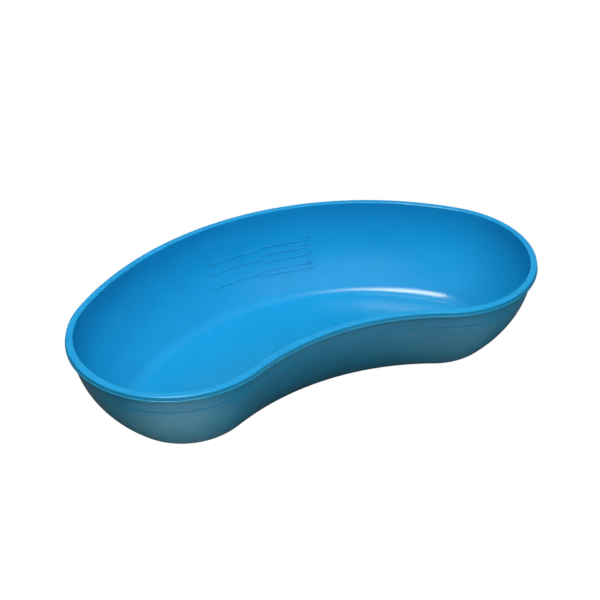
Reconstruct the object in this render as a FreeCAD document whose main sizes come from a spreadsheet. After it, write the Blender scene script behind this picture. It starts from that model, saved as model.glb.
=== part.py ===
import FreeCAD, Part
import math
import os

import Sketcher

# Kidney dish, 250 mm long: one deep plastic moulding with a raised measuring scale inside.
# Millimetres. +X runs along the dish, +Y to its bulging back, +Z up; the base stands on Z = 0.

os.makedirs("parts", exist_ok=True)
doc = FreeCAD.newDocument("kidney_dish")

DIMENSIONS = [
    ("overall_length", 250.0, "over the rim"),
    ("overall_height", 49.0, "base to rim top"),
    ("rim_end_radius", 52.5, "the two round ends, at the rim's outer edge"),
    ("rim_back_radius", 154.0, "bulging back, at the rim's outer edge"),
    ("rim_front_radius", 117.0, "hollow front, at the rim's outer edge"),
    ("rim_thickness", 3.0, "height of the rim's lip"),
    ("rim_overhang", 2.4, "lip stands out from the wall"),
    ("rim_outer_rounding", 0.8, "lip, top edge"),
    ("rim_lower_rounding", 0.5, "lip, bottom edge"),
    ("rim_inner_rounding", 0.5, "rim, edge to the inside"),
    ("foot_set_in", 25.0, "rim's end to the base's end, before the base's edge is rounded"),
    ("foot_end_radius", 30.5, "ends of the base"),
    ("foot_shift", -0.3, "base set towards the front"),
    ("foot_rounding", 12.0, "outside, wall to base"),
    ("belly_share", 0.24, "share of the wall's set-in reached at half height"),
    ("wall_thickness", 1.6, "side wall at the rim"),
    ("floor_thickness", 1.8, "floor"),
    ("floor_corner_inset", 0.5, "inside corner, set in from the base's edge"),
    ("floor_rounding", 10.0, "inside, wall to floor"),
    ("groove_drop", 11.0, "rim top to the fine line round the outside"),
    ("groove_width", 0.6, "fine line"),
    ("groove_depth", 0.3, "fine line"),
    ("level_500", 28.4, "500 ml line, height above the base"),
    ("level_400", 24.4, "400 ml line"),
    ("level_300", 20.6, "300 ml line"),
    ("level_200", 16.35, "200 ml line"),
    ("level_150", 13.95, "150 ml line"),
    ("level_16", 27.5, "16 ounce line"),
    ("level_12", 22.3, "12 ounce line"),
    ("level_8", 15.5, "8 ounce line"),
    ("ml_lines_left", 3.5, "millilitre lines"),
    ("ml_lines_right", 33.0, "millilitre lines, the end with the figures"),
    ("oz_lines_left", -30.0, "ounce lines, the end with the figures"),
    ("oz_lines_right", 2.5, "ounce lines"),
    ("line_width", 0.5, "measuring lines, up the wall"),
    ("scale_relief", 0.3, "lines and figures stand out from the wall"),
    ("figure_height", 1.5, "figures"),
    ("figure_width", 1.1, "figures"),
    ("figure_pitch", 1.6, "from one figure to the next"),
    ("figure_stroke", 0.3, "figures"),
    ("figure_lift", 0.25, "figures above their line"),
]

sheet = doc.addObject("Spreadsheet::Sheet", "Sizes")
for row, (alias, value, note) in enumerate(DIMENSIONS, start=1):
    sheet.set("A%d" % row, alias)
    sheet.set("B%d" % row, str(value))
    sheet.set("C%d" % row, note)
    sheet.setAlias("B%d" % row, alias)
doc.recompute()

# Outlines: four arcs that run into each other, two round ends with a bulging back and a hollow front.
# Each is a set of expressions; "spacing" is from the middle to an end's centre.
RIM = {
    "spacing": "Sizes.overall_length / 2 - Sizes.rim_end_radius",
    "end": "Sizes.rim_end_radius",
    "back": "Sizes.rim_back_radius",
    "front": "Sizes.rim_front_radius",
    "shift": "0",
}
# The base's arcs meet on the same bearings as the rim's, so the wall runs smoothly from arc to arc.
FOOT_SPACING = "(Sizes.overall_length / 2 - Sizes.foot_set_in - Sizes.foot_end_radius)"
FOOT_SHARE = FOOT_SPACING + " / (Sizes.overall_length / 2 - Sizes.rim_end_radius)"
FOOT = {
    "spacing": FOOT_SPACING,
    "end": "Sizes.foot_end_radius",
    "back": "Sizes.foot_end_radius + (Sizes.rim_back_radius - Sizes.rim_end_radius) * " + FOOT_SHARE,
    "front": "(Sizes.rim_front_radius + Sizes.rim_end_radius) * " + FOOT_SHARE
             + " - Sizes.foot_end_radius",
    "shift": "Sizes.foot_shift",
}
LIP_LEVEL = "Sizes.overall_height - Sizes.rim_thickness"
# The ends' centres lie off the middle of the dish, so each body is moved to bring the middle to Y = 0.
CENTRING = ("-(Sizes.rim_back_radius - Sizes.rim_end_radius - sqrt((Sizes.rim_back_radius"
            " - Sizes.rim_end_radius)^2 - (Sizes.overall_length / 2 - Sizes.rim_end_radius)^2)) / 2")


def inset(outline, distance):
    """The same outline moved inwards all the way round."""
    return {
        "spacing": outline["spacing"],
        "end": "%s - (%s)" % (outline["end"], distance),
        "back": "%s - (%s)" % (outline["back"], distance),
        "front": "%s + (%s)" % (outline["front"], distance),
        "shift": outline["shift"],
    }


def between(upper, lower, share):
    """An outline part of the way from the upper one to the lower one."""
    return {key: "(%s) + (%s) * ((%s) - (%s))" % (upper[key], share, lower[key], upper[key])
            for key in upper}


def new_body(name):
    body = doc.addObject("PartDesign::Body", name)
    body.Label = name
    body.setExpression("Placement.Base.y", CENTRING)
    return body


def new_sketch(body, name, shift, level):
    sketch = body.newObject("Sketcher::SketchObject", name)
    plane = [feature for feature in body.Origin.OriginFeatures if feature.Role == "XY_Plane"][0]
    sketch.AttachmentSupport = [(plane, "")]
    sketch.MapMode = "FlatFace"
    sketch.setExpression("AttachmentOffset.Base.y", shift)
    sketch.setExpression("AttachmentOffset.Base.z", level)
    return sketch


def add_arc(sketch, x, y, radius, start, end):
    circle = Part.Circle(FreeCAD.Vector(x, y, 0), FreeCAD.Vector(0, 0, 1), radius)
    return sketch.addGeometry(Part.ArcOfCircle(circle, start, end), False)


def add_kidney(sketch, outline, prefix=""):
    """Draw an outline's four arcs in a sketch and tie them to the sheet."""
    spacing, end, back, front = [float(sketch.evalExpression(outline[key]))
                                 for key in ("spacing", "end", "back", "front")]
    back_depth = math.sqrt((back - end) ** 2 - spacing ** 2)
    front_depth = math.sqrt((front + end) ** 2 - spacing ** 2)
    back_angle = math.atan2(back_depth, spacing)
    front_angle = math.atan2(front_depth, spacing)
    right = add_arc(sketch, spacing, 0, end, front_angle - math.pi, back_angle)
    rear = add_arc(sketch, 0, -back_depth, back, back_angle, math.pi - back_angle)
    left = add_arc(sketch, -spacing, 0, end, math.pi - back_angle, 2 * math.pi - front_angle)
    hollow = add_arc(sketch, 0, -front_depth, front, front_angle, math.pi - front_angle)

    start, finish, centre = 1, 2, 3
    horizontal_axis, vertical_axis, origin = -1, -2, -1
    tie = sketch.addConstraint
    tie(Sketcher.Constraint("Tangent", right, finish, rear, start))
    tie(Sketcher.Constraint("Tangent", rear, finish, left, start))
    tie(Sketcher.Constraint("Tangent", left, finish, hollow, finish))
    tie(Sketcher.Constraint("Tangent", hollow, start, right, start))
    tie(Sketcher.Constraint("PointOnObject", rear, centre, vertical_axis))
    tie(Sketcher.Constraint("PointOnObject", hollow, centre, vertical_axis))
    tie(Sketcher.Constraint("PointOnObject", right, centre, horizontal_axis))
    tie(Sketcher.Constraint("Equal", right, left))
    sizes = [("spacing", Sketcher.Constraint("DistanceX", origin, 1, right, centre, spacing)),
             ("end", Sketcher.Constraint("Radius", right, end)),
             ("back", Sketcher.Constraint("Radius", rear, back)),
             ("front", Sketcher.Constraint("Radius", hollow, front))]
    for key, constraint in sizes:
        index = tie(constraint)
        sketch.renameConstraint(index, prefix + key)
        sketch.setExpression("Constraints." + prefix + key, outline[key])


def kidney_sketch(body, name, outline, level):
    sketch = new_sketch(body, name, outline["shift"], level)
    add_kidney(sketch, outline)
    return sketch


def add_loft(body, kind, name, sketches):
    """A smooth solid through the sketches, from the top down: kind is Additive or Subtractive."""
    loft = body.newObject("PartDesign::%sLoft" % kind, name)
    loft.Profile = sketches[0]
    loft.Sections = sketches[1:]
    loft.Ruled = False
    return loft


def add_pad(body, name, sketch, length):
    pad = body.newObject("PartDesign::Pad", name)
    pad.Profile = sketch
    pad.setExpression("Length", length)
    return pad


def add_pocket(body, name, sketch, depth):
    """Cut upwards from the sketch."""
    pocket = body.newObject("PartDesign::Pocket", name)
    pocket.Profile = sketch
    pocket.Reversed = True
    pocket.setExpression("Length", depth)
    return pocket


def round_edges(body, name, radius, level, choose):
    """Round a whole loop of edges at one level: choose is max for the longest loop, min for the shortest."""
    doc.recompute()
    height = float(sheet.evalExpression(level))
    near = 0.001
    base = body.Tip
    loops = [wire for wire in base.Shape.Wires
             if all(abs(point.z - height) < near for point in wire.discretize(Number=24))]
    loop = choose(loops, key=lambda wire: wire.Length)
    edges = ["Edge%d" % number for number, edge in enumerate(base.Shape.Edges, start=1)
             if any(edge.isSame(member) for member in loop.Edges)]
    fillet = body.newObject("PartDesign::Fillet", name)
    fillet.Base = (base, edges)
    fillet.setExpression("Radius", radius)


# Levels and outlines of the outside wall and of the inside face.
lip = inset(RIM, "Sizes.rim_overhang")
belly = between(lip, FOOT, "Sizes.belly_share")
belly_level = "(%s) / 2" % LIP_LEVEL
groove_level = "Sizes.overall_height - Sizes.groove_drop"
groove_way_down = "((Sizes.groove_drop - Sizes.rim_thickness) / (%s))" % LIP_LEVEL
# The set-in grows as a parabola that passes through belly_share at half height.
groove_share = ("(2 - 4 * Sizes.belly_share) * %s^2 + (4 * Sizes.belly_share - 1) * %s"
                % (groove_way_down, groove_way_down))
groove_wall = between(lip, FOOT, groove_share)
inner_lip = inset(RIM, "Sizes.rim_overhang + Sizes.wall_thickness")
inner_foot = inset(FOOT, "Sizes.floor_corner_inset")
inner_belly = between(inner_lip, inner_foot, "Sizes.belly_share")
inner_belly_level = "(%s + Sizes.floor_thickness) / 2" % LIP_LEVEL


def inner_sketches(body, prefix, outlines):
    levels = [LIP_LEVEL, inner_belly_level, "Sizes.floor_thickness"]
    names = ["lip", "belly", "floor"]
    return [kidney_sketch(body, prefix + name, outline, level)
            for name, outline, level in zip(names, outlines, levels)]


def make_dish_body():
    """The moulding: bulging wall, lipped rim, rounded cavity and the fine line round the outside."""
    body = new_body("dish_body")
    outside = [kidney_sketch(body, "outside_lip", lip, LIP_LEVEL),
               kidney_sketch(body, "outside_groove", groove_wall, groove_level),
               kidney_sketch(body, "outside_belly", belly, belly_level),
               kidney_sketch(body, "outside_foot", FOOT, "0")]
    add_loft(body, "Additive", "wall", outside)
    round_edges(body, "foot_rounding", "Sizes.foot_rounding", "0", max)

    add_pad(body, "rim", kidney_sketch(body, "rim_edge", RIM, LIP_LEVEL), "Sizes.rim_thickness")
    round_edges(body, "rim_outer_rounding", "Sizes.rim_outer_rounding", "Sizes.overall_height", max)
    round_edges(body, "rim_lower_rounding", "Sizes.rim_lower_rounding", LIP_LEVEL, max)

    add_loft(body, "Subtractive", "cavity",
             inner_sketches(body, "inside_", [inner_lip, inner_belly, inner_foot]))
    add_pocket(body, "mouth", kidney_sketch(body, "mouth_edge", inner_lip, LIP_LEVEL),
               "Sizes.rim_thickness")
    round_edges(body, "floor_rounding", "Sizes.floor_rounding", "Sizes.floor_thickness", min)
    round_edges(body, "rim_inner_rounding", "Sizes.rim_inner_rounding", "Sizes.overall_height", min)

    groove = new_sketch(body, "groove_edges", groove_wall["shift"],
                        "%s - Sizes.groove_width / 2" % groove_level)
    add_kidney(groove, inset(groove_wall, "-Sizes.rim_overhang"), "outer_")
    add_kidney(groove, inset(groove_wall, "Sizes.groove_depth"), "inner_")
    add_pocket(body, "groove", groove, "Sizes.groove_width")
    return body


def add_bar(name, left, bottom, width, height):
    """A bar that runs from the middle of the dish out through the back of the wall."""
    bar = doc.addObject("Part::Box", name)
    bar.setExpression("Placement.Base.x", left)
    bar.setExpression("Placement.Base.z", bottom)
    bar.setExpression("Length", width)
    bar.setExpression("Height", height)
    bar.setExpression("Width", "Sizes.overall_length / 2")
    return bar


# Figures are made of straight strokes: left, bottom, width and height inside the figure's own box.
ACROSS, UP, STROKE = "Sizes.figure_width", "Sizes.figure_height", "Sizes.figure_stroke"
STROKES = {
    "top": ("0", UP + " - " + STROKE, ACROSS, STROKE),
    "middle": ("0", "(%s - %s) / 2" % (UP, STROKE), ACROSS, STROKE),
    "bottom": ("0", "0", ACROSS, STROKE),
    "upper_left": ("0", UP + " / 2", STROKE, UP + " / 2"),
    "upper_right": (ACROSS + " - " + STROKE, UP + " / 2", STROKE, UP + " / 2"),
    "lower_left": ("0", "0", STROKE, UP + " / 2"),
    "lower_right": (ACROSS + " - " + STROKE, "0", STROKE, UP + " / 2"),
}
FIGURES = {
    "0": ("top", "upper_left", "upper_right", "lower_left", "lower_right", "bottom"),
    "1": ("upper_right", "lower_right"),
    "2": ("top", "upper_right", "middle", "lower_left", "bottom"),
    "3": ("top", "upper_right", "middle", "lower_right", "bottom"),
    "4": ("upper_left", "upper_right", "middle", "lower_right"),
    "5": ("top", "upper_left", "middle", "lower_right", "bottom"),
    "6": ("top", "upper_left", "middle", "lower_left", "lower_right", "bottom"),
    "8": tuple(STROKES),
}
MILLILITRES = ["150", "200", "300", "400", "500"]
OUNCES = ["8", "12", "16"]


def add_label(label, lines_left, lines_right, figures_left):
    """One measuring line with its number standing on it."""
    level = "Sizes.level_" + label
    bars = [add_bar("line_" + label, lines_left, level + " - Sizes.line_width / 2",
                    "%s - %s" % (lines_right, lines_left), "Sizes.line_width")]
    bottom = level + " + Sizes.line_width / 2 + Sizes.figure_lift"
    for place, figure in enumerate(label):
        for stroke in FIGURES[figure]:
            right_by, up_by, width, height = STROKES[stroke]
            left = "%s + %d * Sizes.figure_pitch + %s" % (figures_left, place, right_by)
            name = "figure_%s_%d_%s" % (label, place, stroke)
            bars.append(add_bar(name, left, "%s + %s" % (bottom, up_by), width, height))
    return bars


def scale_labels():
    """Millilitres on the right, figures at their right-hand end; ounces on the left, at their left."""
    bars = []
    for label in MILLILITRES:
        width = "(%d * Sizes.figure_pitch + %s)" % (len(label) - 1, ACROSS)
        bars += add_label(label, "Sizes.ml_lines_left", "Sizes.ml_lines_right",
                          "Sizes.ml_lines_right - " + width)
    for label in OUNCES:
        bars += add_label(label, "Sizes.oz_lines_left", "Sizes.oz_lines_right",
                          "Sizes.oz_lines_left")
    return bars


def make_graduation_scale():
    """Raised lines and figures: a thin skin over the inside of the wall, kept only at the bars."""
    skin = new_body("scale_skin")
    outlines = [inner_lip, inner_belly, inner_foot]
    add_loft(skin, "Additive", "skin_back", inner_sketches(skin, "skin_back_", outlines))
    raised = [inset(outline, "Sizes.scale_relief") for outline in outlines]
    add_loft(skin, "Subtractive", "skin_face", inner_sketches(skin, "skin_face_", raised))

    bars = doc.addObject("Part::MultiFuse", "scale_bars")
    bars.Shapes = scale_labels()
    scale = doc.addObject("Part::MultiCommon", "graduation_scale")
    scale.Label = "graduation_scale"
    scale.Shapes = [skin, bars]
    return scale


pieces = [make_dish_body(), make_graduation_scale()]
doc.recompute()

for item in doc.Objects:
    for word in ("Invalid", "Error"):
        if word in item.State:
            raise RuntimeError("%s is %s" % (item.Name, word))

for piece in pieces:
    if piece.Shape.isNull() or not piece.Shape.isValid():
        raise RuntimeError("%s has no valid shape" % piece.Label)
    piece.Shape.exportStep("parts/%s.step" % piece.Label)
    print(piece.Label, len(piece.Shape.Solids), "solids", round(piece.Shape.Volume, 1), "mm3")
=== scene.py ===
import math

import bmesh
import bpy
from mathutils import Matrix, Vector


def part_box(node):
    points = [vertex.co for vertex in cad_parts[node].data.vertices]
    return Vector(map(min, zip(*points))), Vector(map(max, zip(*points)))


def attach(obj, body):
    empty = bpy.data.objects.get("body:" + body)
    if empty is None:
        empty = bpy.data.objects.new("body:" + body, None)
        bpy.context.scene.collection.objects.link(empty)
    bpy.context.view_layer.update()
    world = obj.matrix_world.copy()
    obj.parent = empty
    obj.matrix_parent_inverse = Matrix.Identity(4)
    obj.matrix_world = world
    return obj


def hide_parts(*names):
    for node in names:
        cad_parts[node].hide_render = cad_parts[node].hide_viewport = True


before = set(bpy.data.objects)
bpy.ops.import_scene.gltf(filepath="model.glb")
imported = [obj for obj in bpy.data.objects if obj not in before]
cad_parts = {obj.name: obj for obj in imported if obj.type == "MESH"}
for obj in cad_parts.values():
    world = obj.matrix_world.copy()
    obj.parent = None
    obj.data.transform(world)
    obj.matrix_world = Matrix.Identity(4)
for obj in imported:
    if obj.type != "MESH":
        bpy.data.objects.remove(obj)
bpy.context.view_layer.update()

# ---------------------------------------------------------------------------------------------------
# Sizes, in metres. Length and height come from the frame; the rest are the mould maker's.
# ---------------------------------------------------------------------------------------------------
MM = 0.001
dish_low, dish_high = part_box("dish_body")
LENGTH = dish_high[0] - dish_low[0]
HEIGHT = dish_high[2] - dish_low[2]

RIM_END = 52.5 * MM
RIM_BACK = 154.0 * MM
RIM_FRONT = 117.0 * MM
RIM_THICKNESS = 3.0 * MM
RIM_OVERHANG = 2.4 * MM
WALL_THICKNESS = 1.6 * MM
RIM_TOP_ROUNDING = 0.8 * MM
RIM_TOP_BORDER = 1.28 * MM
LEDGE_WIDTH = 0.4 * MM
LEDGE_HEIGHT = 0.9 * MM
LEDGE_ROUNDING = 0.2 * MM
LEDGE_CORNER = 0.06 * MM
RIM_INNER_ROUNDING = 0.5 * MM
UNDER_LIP_ROUNDING = 0.35 * MM
UNDER_LIP_TURNS = (30, 60, 90)
MOULD_SHRINK = 0.03 * MM
FOOT_LENGTH = 200.0 * MM
FOOT_END = 30.5 * MM
FOOT_SHIFT = -0.3 * MM
FOOT_ROUNDING = 12.0 * MM
BELLY_SHARE = 0.24
FLOOR_THICKNESS = 1.8 * MM
FLOOR_INSET = 0.5 * MM
FLOOR_ROUNDING = 10.0 * MM
FLAT_BORDER = 1.5 * MM
GROOVE_DROP = 11.0 * MM
GROOVE_WIDTH = 0.6 * MM
GROOVE_DEPTH = 0.3 * MM
# Across the fine line: half widths above its middle, and share of its depth.
GROOVE_PROFILE = [(-1.5, 0.0), (-1.15, 0.02), (-1.0, 0.12), (-0.9, 0.7), (-0.75, 0.95), (0.0, 1.0),
                  (0.75, 0.95), (0.9, 0.7), (1.0, 0.12), (1.15, 0.02), (1.5, 0.0), (2.5, 0.0)]
LIP_LEVEL = HEIGHT - RIM_THICKNESS

MILLILITRES = {"500": 28.4 * MM, "400": 24.4 * MM, "300": 20.6 * MM, "200": 16.35 * MM,
               "150": 13.95 * MM}
OUNCES = {"16": 27.5 * MM, "12": 22.3 * MM, "8": 15.5 * MM}
MILLILITRE_LINES = (3.5 * MM, 33.0 * MM)
OUNCE_LINES = (-30.0 * MM, 2.5 * MM)
LINE_WIDTH = 0.5 * MM
LINE_END_TAPER = 1.2 * MM
LINE_END_SHARE = 0.25
# Round a raised line's section: half widths above its middle, and share of its relief.
LINE_PROFILE = [(-1.0, -0.2), (-1.0, 0.35), (-0.78, 0.8), (-0.4, 0.98), (0.0, 1.0),
                (0.4, 0.98), (0.78, 0.8), (1.0, 0.35), (1.0, -0.2)]
SCALE_RELIEF = 0.3 * MM
SCALE_ROOT = 0.06 * MM
FIGURE_HEIGHT = 1.5 * MM
FIGURE_WIDTH = 1.1 * MM
FIGURE_PITCH = 1.6 * MM
FIGURE_LIFT = 0.25 * MM
CAPITAL_SHARE = 0.73     # of the built-in letters' size, the height of a figure
FIGURE_CURVE_STEPS = 4

# Rings of points in each stretch of the dish's skin, and steps along a raised line.
OUTER_SIDE_RINGS = 26
OUTER_ROUNDING_RINGS = 16
UPPER_WALL_RINGS = 8
LEDGE_RINGS = 5
RIM_TOP_RINGS = 9
RIM_TOP_START = 9        # degrees up from the upright side of the lip
RIM_INNER_RINGS = 6
INNER_SIDE_RINGS = 34
INNER_ROUNDING_RINGS = 18
LINE_STEPS = 48


# ---------------------------------------------------------------------------------------------------
# The kidney outline and the bulging wall
# ---------------------------------------------------------------------------------------------------
class Outline:
    """Two round ends, a bulging back and a hollow front: four arcs that run into each other."""

    END_STEPS = 48
    BACK_STEPS = 64
    FRONT_STEPS = 40

    def __init__(self, spacing, end, back, front, shift):
        self.spacing, self.end, self.back, self.front, self.shift = spacing, end, back, front, shift

    def inset(self, distance):
        return Outline(self.spacing, self.end - distance, self.back - distance,
                       self.front + distance, self.shift)

    def depths(self):
        """How far in front of the ends' centres the back's and the hollow's centres lie."""
        return (math.sqrt((self.back - self.end) ** 2 - self.spacing ** 2),
                math.sqrt((self.front + self.end) ** 2 - self.spacing ** 2))

    def points(self):
        """Once round, anticlockwise, from where the hollow meets the right-hand end."""
        back_depth, front_depth = self.depths()
        back_turn = math.atan2(back_depth, self.spacing)
        front_turn = math.atan2(front_depth, self.spacing)
        arcs = [
            (self.spacing, 0.0, self.end, front_turn - math.pi, back_turn, self.END_STEPS),
            (0.0, -back_depth, self.back, back_turn, math.pi - back_turn, self.BACK_STEPS),
            (-self.spacing, 0.0, self.end, math.pi - back_turn, 2 * math.pi - front_turn,
             self.END_STEPS),
            (0.0, -front_depth, self.front, math.pi - front_turn, front_turn, self.FRONT_STEPS),
        ]
        found = []
        for x, y, radius, start, finish, steps in arcs:
            for step in range(steps):
                turn = start + (finish - start) * step / steps
                found.append(Vector((x + radius * math.cos(turn),
                                     y + radius * math.sin(turn) + self.shift)))
        return found

    def ring(self, level):
        return [Vector((point.x, point.y, level)) for point in self.points()]


RIM_SPACING = LENGTH / 2 - RIM_END
FOOT_SPACING = FOOT_LENGTH / 2 - FOOT_END
FOOT_SHARE = FOOT_SPACING / RIM_SPACING
BACK_REACH = RIM_BACK - math.sqrt((RIM_BACK - RIM_END) ** 2 - RIM_SPACING ** 2)
CENTRING = -(BACK_REACH - RIM_END) / 2

rim_outline = Outline(RIM_SPACING, RIM_END, RIM_BACK, RIM_FRONT, CENTRING)
foot_outline = Outline(FOOT_SPACING, FOOT_END, FOOT_END + (RIM_BACK - RIM_END) * FOOT_SHARE,
                       (RIM_FRONT + RIM_END) * FOOT_SHARE - FOOT_END, FOOT_SHIFT + CENTRING)
lip_outline = rim_outline.inset(RIM_OVERHANG)
inner_lip_outline = rim_outline.inset(RIM_OVERHANG + WALL_THICKNESS)
inner_foot_outline = foot_outline.inset(FLOOR_INSET)


def set_in(way_down):
    """Share of the wall's whole set-in at a way down from the lip: a parabola through the belly."""
    return (2 - 4 * BELLY_SHARE) * way_down ** 2 + (4 * BELLY_SHARE - 1) * way_down


def set_in_rate(way_down):
    return 2 * (2 - 4 * BELLY_SHARE) * way_down + (4 * BELLY_SHARE - 1)


class Wall:
    """One face of the bulging wall, from its outline at the lip down to the one at the foot."""

    HALVINGS = 40
    HIGHEST_TOUCH = 0.3

    def __init__(self, top, bottom, floor_level):
        self.floor_level = floor_level
        self.drop = LIP_LEVEL - floor_level
        self.upper = top.points()
        self.lower = bottom.points()
        self.count = len(self.upper)

    def way_at(self, level):
        return (LIP_LEVEL - level) / self.drop

    def inwards(self, index):
        return (self.lower[index] - self.upper[index]).normalized()

    def lean(self, index, way_down):
        """How far the wall leans in from upright here."""
        width = (self.lower[index] - self.upper[index]).length
        return math.atan(width * set_in_rate(way_down) / self.drop)

    def at(self, index, way_down, depth=0.0):
        """A point of the wall, or one set in from it by a depth along the flat."""
        upper, lower = self.upper[index], self.lower[index]
        spot = upper + (lower - upper) * set_in(way_down) + self.inwards(index) * depth
        return Vector((spot.x, spot.y, LIP_LEVEL - self.drop * way_down))

    def ring(self, way_down, depth=0.0):
        return [self.at(index, way_down, depth) for index in range(self.count)]

    def touch(self, index, radius):
        """Way down to where a rounding of this radius, lying on the flat, meets the wall."""
        high, low = self.HIGHEST_TOUCH, 1.0
        for _ in range(self.HALVINGS):
            middle = (high + low) / 2
            above = self.drop * (1 - middle) + radius * math.sin(self.lean(index, middle)) - radius
            high, low = (middle, low) if above > 0 else (high, middle)
        return (high + low) / 2

    def side_rings(self, radius, start, steps):
        """Rings from a way down near the lip to where the rounding begins."""
        ends = [self.touch(index, radius) for index in range(self.count)]
        return [[self.at(index, start + (end - start) * step / steps)
                 for index, end in enumerate(ends)] for step in range(steps)]

    def rounding_rings(self, radius, steps):
        """Rings round the rounding, from the wall to the flat, and one more just inside it."""
        rings = [[] for _ in range(steps + 2)]
        for index in range(self.count):
            way = self.touch(index, radius)
            lean = self.lean(index, way)
            inwards = self.inwards(index).to_3d()
            centre = self.at(index, way) + inwards * radius * math.cos(lean)
            centre.z = self.floor_level + radius
            for step in range(steps + 1):
                turn = lean + (math.pi / 2 - lean) * step / steps
                rings[step].append(centre - inwards * radius * math.cos(turn)
                                   - Vector((0, 0, radius * math.sin(turn))))
            rings[-1].append(rings[-2][-1] + inwards * FLAT_BORDER)
        return rings


def edge_rings(outline, edge_level, radius, start, finish, steps):
    """Rings round an edge of the rim; degrees: 0 faces outwards, 90 up, 180 inwards, -90 down."""
    rings = []
    for step in range(steps + 1):
        turn = math.radians(start + (finish - start) * step / steps)
        rings.append(outline.inset(-radius * math.cos(turn)).ring(edge_level + radius * math.sin(turn)))
    return rings


# ---------------------------------------------------------------------------------------------------
# Meshes
# ---------------------------------------------------------------------------------------------------
def add_piece(name, mesh, material, node):
    for face in mesh.polygons:
        face.use_smooth = True
    mesh.materials.append(material)
    piece = bpy.data.objects.new(name, mesh)
    bpy.context.scene.collection.objects.link(piece)
    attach(piece, "root")
    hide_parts(node)
    return piece


def skin(name, rings):
    """One closed mesh through the rings, with a flat face over the first and over the last."""
    build = bmesh.new()
    rows = [[build.verts.new(point) for point in ring] for ring in rings]
    count = len(rows[0])
    for lower, upper in zip(rows, rows[1:]):
        for index in range(count):
            after = (index + 1) % count
            build.faces.new((lower[index], lower[after], upper[after], upper[index]))
    build.faces.new(list(reversed(rows[0])))
    build.faces.new(rows[-1])
    bmesh.ops.recalc_face_normals(build, faces=build.faces)
    mesh = bpy.data.meshes.new(name)
    build.to_mesh(mesh)
    build.free()
    return mesh


def dish_rings():
    """From the base up the outside and the lip, then over the rim and down the inside to the floor."""
    outer = Wall(lip_outline, foot_outline, 0.0)
    inner = Wall(inner_lip_outline, inner_foot_outline, FLOOR_THICKNESS)
    below_groove = outer.way_at(HEIGHT - GROOVE_DROP - 2 * GROOVE_WIDTH)

    outside = list(reversed(outer.side_rings(FOOT_ROUNDING, below_groove, OUTER_SIDE_RINGS)
                            + outer.rounding_rings(FOOT_ROUNDING, OUTER_ROUNDING_RINGS)))

    groove_level = HEIGHT - GROOVE_DROP
    half = GROOVE_WIDTH / 2
    for offset, depth in GROOVE_PROFILE:
        outside.append(outer.ring(outer.way_at(groove_level + offset * half), depth * GROOVE_DEPTH))
    top_of_wall = LIP_LEVEL - UNDER_LIP_ROUNDING
    last = outer.way_at(groove_level + GROOVE_PROFILE[-1][0] * half)
    for step in range(1, UPPER_WALL_RINGS + 1):
        outside.append(outer.ring(last + (outer.way_at(top_of_wall) - last) * step / UPPER_WALL_RINGS))
    for turn in UNDER_LIP_TURNS:
        lean = math.radians(turn)
        outside.append(lip_outline.inset(-UNDER_LIP_ROUNDING * (1 - math.cos(lean)))
                       .ring(top_of_wall + UNDER_LIP_ROUNDING * math.sin(lean)))

    ledge = rim_outline.inset(MOULD_SHRINK)
    outside.append(ledge.inset(3 * LEDGE_ROUNDING).ring(LIP_LEVEL))
    outside += edge_rings(ledge.inset(LEDGE_ROUNDING), LIP_LEVEL + LEDGE_ROUNDING,
                          LEDGE_ROUNDING, -90, 0, LEDGE_RINGS)
    ledge_top = LIP_LEVEL + LEDGE_HEIGHT
    outside += edge_rings(ledge.inset(LEDGE_ROUNDING), ledge_top - LEDGE_ROUNDING,
                          LEDGE_ROUNDING, 0, 90, LEDGE_RINGS)
    edge = ledge.inset(LEDGE_WIDTH)
    outside.append(edge.inset(-LEDGE_CORNER).ring(ledge_top))
    outside.append(edge.ring(ledge_top + LEDGE_CORNER))
    outside.append(edge.ring(HEIGHT - RIM_TOP_ROUNDING))
    rim = edge_rings(edge.inset(RIM_TOP_ROUNDING), HEIGHT - RIM_TOP_ROUNDING,
                     RIM_TOP_ROUNDING, RIM_TOP_START, 90, RIM_TOP_RINGS)
    inner_edge = inner_lip_outline
    rim.append(edge.inset(RIM_TOP_BORDER).ring(HEIGHT))
    rim.append(inner_edge.inset(-2 * RIM_INNER_ROUNDING).ring(HEIGHT))
    rim += edge_rings(inner_edge.inset(-RIM_INNER_ROUNDING), HEIGHT - RIM_INNER_ROUNDING,
                      RIM_INNER_ROUNDING, 90, 180, RIM_INNER_RINGS)
    rim.append(inner_edge.ring((HEIGHT - RIM_INNER_ROUNDING + LIP_LEVEL) / 2))

    inside = (inner.side_rings(FLOOR_ROUNDING, 0.0, INNER_SIDE_RINGS)
              + inner.rounding_rings(FLOOR_ROUNDING, INNER_ROUNDING_RINGS))
    return outside, rim + inside


def rear_wall_point(across, level, height=0.0):
    """A point on the inside of the rear wall, or above it by a height square to the wall."""
    def reach(at_level):
        way = (LIP_LEVEL - at_level) / (LIP_LEVEL - FLOOR_THICKNESS)
        share = set_in(way)

        def mix(name):
            upper, lower = getattr(inner_lip_outline, name), getattr(inner_foot_outline, name)
            return upper + share * (lower - upper)
        here = Outline(mix("spacing"), mix("end"), mix("back"), mix("front"), mix("shift"))
        return math.sqrt(here.back ** 2 - across ** 2) - here.depths()[0] + here.shift, here.back

    rise = 0.1 * MM
    y, radius = reach(level)
    along = Vector((1.0, -across / math.sqrt(radius ** 2 - across ** 2), 0.0))
    up = Vector((0.0, reach(level + rise)[0] - reach(level - rise)[0], 2 * rise))
    normal = up.cross(along).normalized()
    if normal.y > 0:
        normal = -normal
    return Vector((across, y, level)) + normal * height


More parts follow.
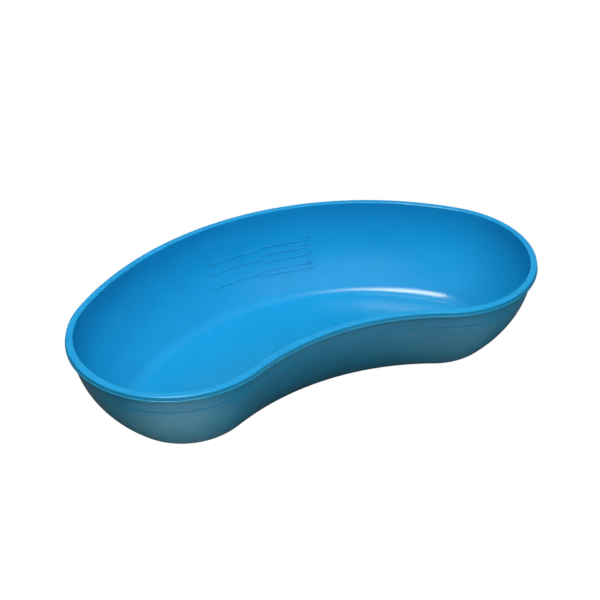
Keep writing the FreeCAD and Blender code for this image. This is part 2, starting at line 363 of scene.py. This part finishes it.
def add_line(build, level, left, right):
    """A rounded raised line along the rear wall, lower towards its ends."""
    rows = []
    for step in range(LINE_STEPS + 1):
        across = left + (right - left) * step / LINE_STEPS
        from_end = min(across - left, right - across)
        fade = min(1.0, LINE_END_SHARE + (1 - LINE_END_SHARE) * from_end / LINE_END_TAPER)
        rows.append([build.verts.new(rear_wall_point(
            across, level + side * fade * LINE_WIDTH / 2,
            SCALE_RELIEF * rise * (fade if rise > 0 else 1)))
            for side, rise in LINE_PROFILE])
    for before, after in zip(rows, rows[1:]):
        for index in range(len(LINE_PROFILE)):
            following = (index + 1) % len(LINE_PROFILE)
            build.faces.new((before[index], before[following], after[following], after[index]))
    build.faces.new(list(reversed(rows[0])))
    build.faces.new(rows[-1])


def add_figure(build, figure, left, foot):
    """One raised figure, wrapped on the rear wall."""
    letters = bpy.data.curves.new("figure", "FONT")
    letters.body = figure
    letters.size = FIGURE_HEIGHT / CAPITAL_SHARE
    letters.extrude = 1.0
    letters.resolution_u = FIGURE_CURVE_STEPS
    stand = bpy.data.objects.new("figure", letters)
    flat = bpy.data.meshes.new_from_object(stand)
    widths = [vertex.co.x for vertex in flat.vertices]
    to_middle = left + FIGURE_WIDTH / 2 - (min(widths) + max(widths)) / 2
    for vertex in flat.vertices:
        height = SCALE_RELIEF if vertex.co.z > 0 else -SCALE_ROOT
        vertex.co = rear_wall_point(to_middle + vertex.co.x, foot + vertex.co.y, height)
    build.from_mesh(flat)
    bpy.data.objects.remove(stand)
    bpy.data.curves.remove(letters)
    bpy.data.meshes.remove(flat)


def scale_mesh():
    """Millilitres on the right with figures at their right-hand end, ounces on the left at theirs."""
    build = bmesh.new()
    for levels, (left, right), figures_right in ((MILLILITRES, MILLILITRE_LINES, True),
                                                 (OUNCES, OUNCE_LINES, False)):
        for label, level in levels.items():
            add_line(build, level, left, right)
            width = (len(label) - 1) * FIGURE_PITCH + FIGURE_WIDTH
            start = right - width if figures_right else left
            for place, figure in enumerate(label):
                add_figure(build, figure, start + place * FIGURE_PITCH,
                           level + LINE_WIDTH / 2 + FIGURE_LIFT)
    bmesh.ops.recalc_face_normals(build, faces=build.faces)
    mesh = bpy.data.meshes.new("graduation_marks")
    build.to_mesh(mesh)
    build.free()
    return mesh


# ---------------------------------------------------------------------------------------------------
# Shader maths
# ---------------------------------------------------------------------------------------------------
class Value:
    """A socket that can be added, multiplied and so on: each operator adds its Math node."""

    def __init__(self, maker, socket):
        self.maker, self.socket = maker, socket

    def maths(self, operation, *inputs):
        return self.maker.node("ShaderNodeMath", {"operation": operation},
                               dict(enumerate(inputs)))

    def __add__(self, other):
        return self.maths("ADD", self, other)

    def __radd__(self, other):
        return self.maths("ADD", other, self)

    def __sub__(self, other):
        return self.maths("SUBTRACT", self, other)

    def __rsub__(self, other):
        return self.maths("SUBTRACT", other, self)

    def __mul__(self, other):
        return self.maths("MULTIPLY", self, other)

    def __rmul__(self, other):
        return self.maths("MULTIPLY", other, self)

    def clip(self):
        return self.maker.node("ShaderNodeClamp", {}, {"Value": self})

    def ramp(self, low, high):
        """0 below low, 1 above high, smooth between."""
        return self.maker.node("ShaderNodeMapRange", {"interpolation_type": "SMOOTHSTEP"},
                               {"Value": self, "From Min": low, "From Max": high})


class Finish:
    """Makes the nodes of one material, or of the world."""

    def __init__(self, tree):
        self.tree = tree
        tree.nodes.clear()

    def node(self, kind, settings, inputs, output=0):
        made = self.tree.nodes.new(kind)
        for name, value in settings.items():
            setattr(made, name, value)
        for name, value in inputs.items():
            if isinstance(value, Value):
                self.tree.links.new(value.socket, made.inputs[name])
            else:
                made.inputs[name].default_value = value
        return Value(self, made.outputs[output]) if made.outputs else None

    def noise(self, where, size, detail=2.0, roughness=0.5, stretch=(1, 1, 1)):
        """Soft spots about this size across, in metres."""
        spread = self.node("ShaderNodeVectorMath", {"operation": "MULTIPLY"},
                           {0: where, 1: tuple(part / size for part in stretch)})
        return self.node("ShaderNodeTexNoise", {}, {"Vector": spread, "Scale": 1.0,
                                                    "Detail": detail, "Roughness": roughness})

    def mix(self, share, first, second):
        return self.node("ShaderNodeMix", {"data_type": "RGBA"}, {0: share, 6: first, 7: second}, 2)


PLASTIC_IOR = 1.49
FLOW_SIZE = 45 * MM
CLOUD_SIZE = 9 * MM
GRAIN_SIZE = 0.45 * MM
SCRATCH_SIZES = (1.1 * MM, 1.3 * MM)
WORN_PATCH_SIZE = 14 * MM
WORN_TONE = (0.10, 0.36, 0.62, 1)


def moulded_plastic(name, light_tone, dark_tone, roughness, grain_depth, scuffed):
    """Blue satin polypropylene; scuffed adds the marks of use on the rim and the floor."""
    material = bpy.data.materials.new(name)
    material.use_nodes = True
    make = Finish(material.node_tree)
    where = make.node("ShaderNodeTexCoord", {}, {}, "Object")
    height = make.node("ShaderNodeSeparateXYZ", {}, {0: where}, 2)

    flow = make.noise(where, FLOW_SIZE, 3.0, 0.55, (1.0, 1.6, 1.6))
    cloud = make.noise(where, CLOUD_SIZE, 3.0)
    grain = make.noise(where, GRAIN_SIZE, 2.0, 0.6)

    tone = (0.6 * flow + 0.4 * cloud).ramp(0.3, 0.7)
    colour = make.mix(tone, dark_tone, light_tone)
    rough = roughness + 0.05 * cloud + 0.03 * grain
    bumps = 0.35 * grain + 0.9 * cloud

    if scuffed:
        drag = make.noise(where, SCRATCH_SIZES[0], 4.0, 0.6, (0.045, 1.0, 1.0))
        cross = make.noise(where, SCRATCH_SIZES[1], 4.0, 0.6, (1.0, 0.05, 1.0))
        patchy = make.noise(where, WORN_PATCH_SIZE, 2.0).ramp(0.5, 0.72)
        scratches = drag.ramp(0.70, 0.76) * patchy + cross.ramp(0.72, 0.78) * (1 - patchy)
        near_top = height.ramp(HEIGHT - 1.2 * MM, HEIGHT)
        near_floor = 1 - height.ramp(3 * MM, 9 * MM)
        worn = (near_top * 0.6 + near_floor * 0.5 + 0.08) * scratches.clip()
        colour = make.mix(worn * 0.16, colour, WORN_TONE)
        rough = rough + 0.16 * worn
        bumps = bumps - 0.35 * worn

    bump = make.node("ShaderNodeBump", {}, {"Strength": 0.3, "Distance": grain_depth, "Height": bumps})
    plastic = make.node("ShaderNodeBsdfPrincipled", {}, {
        "Base Color": colour, "Roughness": rough, "Normal": bump, "IOR": PLASTIC_IOR,
        "Specular IOR Level": 0.5})
    make.node("ShaderNodeOutputMaterial", {}, {"Surface": plastic})
    return material


# ---------------------------------------------------------------------------------------------------
# The dish
# ---------------------------------------------------------------------------------------------------
inside_plastic = moulded_plastic("polished_inside_plastic", (0.0060, 0.245, 0.535, 1),
                                 (0.0048, 0.222, 0.492, 1), 0.19, 0.02 * MM, scuffed=True)
# Same blue plastic as the inside. The rougher textured finish is real, but the darker, greyer base
# colour of this copy is painted shade on the outer wall.
painted_shade_outside_plastic = moulded_plastic("textured_outside_plastic_with_painted_shade", (0.0070, 0.200, 0.375, 1),
                                  (0.0050, 0.177, 0.335, 1), 0.30, 0.05 * MM, scuffed=False)
scale_plastic = moulded_plastic("raised_scale_plastic", (0.0060, 0.245, 0.535, 1),
                                (0.0048, 0.222, 0.492, 1), 0.24, 0.02 * MM, scuffed=False)
outside_rings, inside_rings = dish_rings()
dish = add_piece("dish_moulding", skin("dish_moulding", outside_rings + inside_rings),
                 inside_plastic, "dish_body")
# The outside faces take the copy with the painted shade.
dish.data.materials.append(painted_shade_outside_plastic)
ring_size = len(outside_rings[0])
for face in dish.data.polygons:
    if min(face.vertices) < ring_size * (len(outside_rings) - 1):
        face.material_index = 1
add_piece("graduation_marks", scale_mesh(), scale_plastic, "graduation_scale")


# ---------------------------------------------------------------------------------------------------
# Floor, backdrop and light
# ---------------------------------------------------------------------------------------------------
ROOM = 6.0
ROUND_STEPS = 96
DOME_STEPS = 24
DOME_LIFT = 88.0
# Painted shade and painted light on the table, seen only in the dish's reflections and bounce light.
TABLE_PAINTED_SHADE = (0.10, 0.096, 0.08, 1)
TABLE_PAINTED_LIGHT = (0.95, 0.90, 0.74, 1)


def staged(name, mesh, material):
    mesh.materials.append(material)
    for face in mesh.polygons:
        face.use_smooth = True
    thing = bpy.data.objects.new(name, mesh)
    bpy.context.scene.collection.objects.link(thing)
    return thing


def white_room_paint():
    """Shows the camera clean white; to the dish, a table with painted shade and two painted pools of
    light.
    """
    material = bpy.data.materials.new("white_room")
    material.use_nodes = True
    make = Finish(material.node_tree)
    seen = make.node("ShaderNodeLightPath", {}, {}, "Is Camera Ray")
    where = make.node("ShaderNodeTexCoord", {}, {}, "Object")

    def painted_light_pool(middle, reach):
        offset = make.node("ShaderNodeVectorMath", {"operation": "SUBTRACT"}, {0: where, 1: middle})
        away = make.node("ShaderNodeVectorMath", {"operation": "LENGTH"}, {0: offset}, "Value")
        return 1 - away.ramp(0.0, reach)

    # Two painted pools of light on the table's painted shade.
    painted_pool_reach = 72 * MM
    lit = (0.95 * painted_light_pool((-100 * MM, -92 * MM, 0), painted_pool_reach)
           + 0.5 * painted_light_pool((55 * MM, -98 * MM, 0), painted_pool_reach))
    painted_table_light = make.mix(lit.clip(), TABLE_PAINTED_SHADE, TABLE_PAINTED_LIGHT)
    paint = make.node("ShaderNodeBsdfDiffuse", {}, {"Color": painted_table_light})
    glow = make.node("ShaderNodeEmission", {}, {"Color": (1, 1, 1, 1), "Strength": 1.0})
    both = make.node("ShaderNodeMixShader", {}, {0: seen, 1: paint, 2: glow})
    make.node("ShaderNodeOutputMaterial", {}, {"Surface": both})
    return material


def floor_mesh():
    build = bmesh.new()
    bmesh.ops.create_circle(build, cap_ends=True, segments=ROUND_STEPS, radius=ROOM)
    mesh = bpy.data.meshes.new("floor")
    build.to_mesh(mesh)
    build.free()
    return mesh


def backdrop_mesh():
    """A round white wall that runs over into a dome."""
    build = bmesh.new()
    rows = []
    for step in range(DOME_STEPS + 1):
        lift = math.radians(DOME_LIFT * step / DOME_STEPS)
        rows.append([build.verts.new((ROOM * math.cos(lift) * math.cos(turn),
                                      ROOM * math.cos(lift) * math.sin(turn),
                                      ROOM * math.sin(lift)))
                     for turn in (2 * math.pi * place / ROUND_STEPS for place in range(ROUND_STEPS))])
    for lower, upper in zip(rows, rows[1:]):
        for place in range(ROUND_STEPS):
            after = (place + 1) % ROUND_STEPS
            build.faces.new((lower[place], upper[place], upper[after], lower[after]))
    build.faces.new(rows[-1])
    mesh = bpy.data.meshes.new("backdrop")
    build.to_mesh(mesh)
    build.free()
    return mesh


room_paint = white_room_paint()
staged("floor", floor_mesh(), room_paint)
backdrop = staged("backdrop", backdrop_mesh(), room_paint)
backdrop.visible_diffuse = False
backdrop.visible_glossy = False
backdrop.visible_shadow = False


def softbox(name, bearing, lift, distance, width, depth, watts, tint=(1.0, 1.0, 1.0)):
    """A soft rectangular light aimed at the dish; bearing 0 is in front, 90 on the right."""
    light = bpy.data.lights.new(name, "AREA")
    light.shape = "RECTANGLE"
    light.size, light.size_y = width, depth
    light.energy = watts
    light.color = tint
    lamp = bpy.data.objects.new(name, light)
    turn, rise = math.radians(bearing), math.radians(lift)
    away = Vector((math.sin(turn) * math.cos(rise), -math.cos(turn) * math.cos(rise),
                   math.sin(rise)))
    lamp.location = away * distance + Vector((0, 0, HEIGHT / 2))
    lamp.rotation_euler = away.to_track_quat("Z", "Y").to_euler()
    bpy.context.scene.collection.objects.link(lamp)
    return lamp


# Each softbox: bearing, lift, distance, width, depth, watts, tint.
softbox("overhead_softbox", -64, 81.5, 1.5, 0.28, 0.8, 17, (1.0, 0.96, 0.82))
FILL_DISTANCE = 2.4
for fill in (softbox("front_fill", -4, 43, FILL_DISTANCE, 2.4, 1.2, 44, (0.96, 0.99, 1.0)),
             softbox("left_fill", -80, 72, FILL_DISTANCE, 1.6, 1.6, 14),
             softbox("back_fill", 155, 20, FILL_DISTANCE, 2.0, 1.2, 12)):
    fill.visible_glossy = False

world = bpy.data.worlds.new("dim_studio")
bpy.context.scene.world = world
world.use_nodes = True
air = Finish(world.node_tree)
facing = air.node("ShaderNodeTexCoord", {}, {}, "Generated")
upwards = air.node("ShaderNodeSeparateXYZ", {}, {0: facing}, 2)
glow = air.node("ShaderNodeBackground", {}, {"Color": (1.0, 1.0, 1.0, 1),
                                             "Strength": 0.08 + 0.15 * upwards.ramp(0.1, 0.9)})
air.node("ShaderNodeOutputWorld", {}, {"Surface": glow})


# ---------------------------------------------------------------------------------------------------
# Camera
# ---------------------------------------------------------------------------------------------------
AIM = Vector((-7.29 * MM, -33.67 * MM, HEIGHT))
BEARING, LIFT, ROLL = math.radians(-26.611), math.radians(35.81), math.radians(0.43)
DISTANCE = 511.2 * MM
SENSOR_WIDTH, LENS = 36.0, 63.2
SHIFT = (-0.0277, 0.0196)
NEAREST_SEEN, FARTHEST_SEEN = 0.01, 50.0

camera_data = bpy.data.cameras.new("camera")
camera_data.sensor_width = SENSOR_WIDTH
camera_data.lens = LENS
camera_data.shift_x, camera_data.shift_y = SHIFT
camera_data.clip_start, camera_data.clip_end = NEAREST_SEEN, FARTHEST_SEEN
camera = bpy.data.objects.new("camera", camera_data)
bpy.context.scene.collection.objects.link(camera)
back = Vector((math.sin(BEARING) * math.cos(LIFT), -math.cos(BEARING) * math.cos(LIFT),
               math.sin(LIFT)))
level_right = Vector((0, 0, 1)).cross(back).normalized()
level_up = back.cross(level_right)
right = level_right * math.cos(ROLL) + level_up * math.sin(ROLL)
up = level_up * math.cos(ROLL) - level_right * math.sin(ROLL)
turned = Matrix((right, up, back)).transposed().to_4x4()
camera.matrix_world = Matrix.Translation(AIM + back * DISTANCE) @ turned
bpy.context.scene.camera = camera

bpy.context.scene.view_settings.view_transform = "Standard"
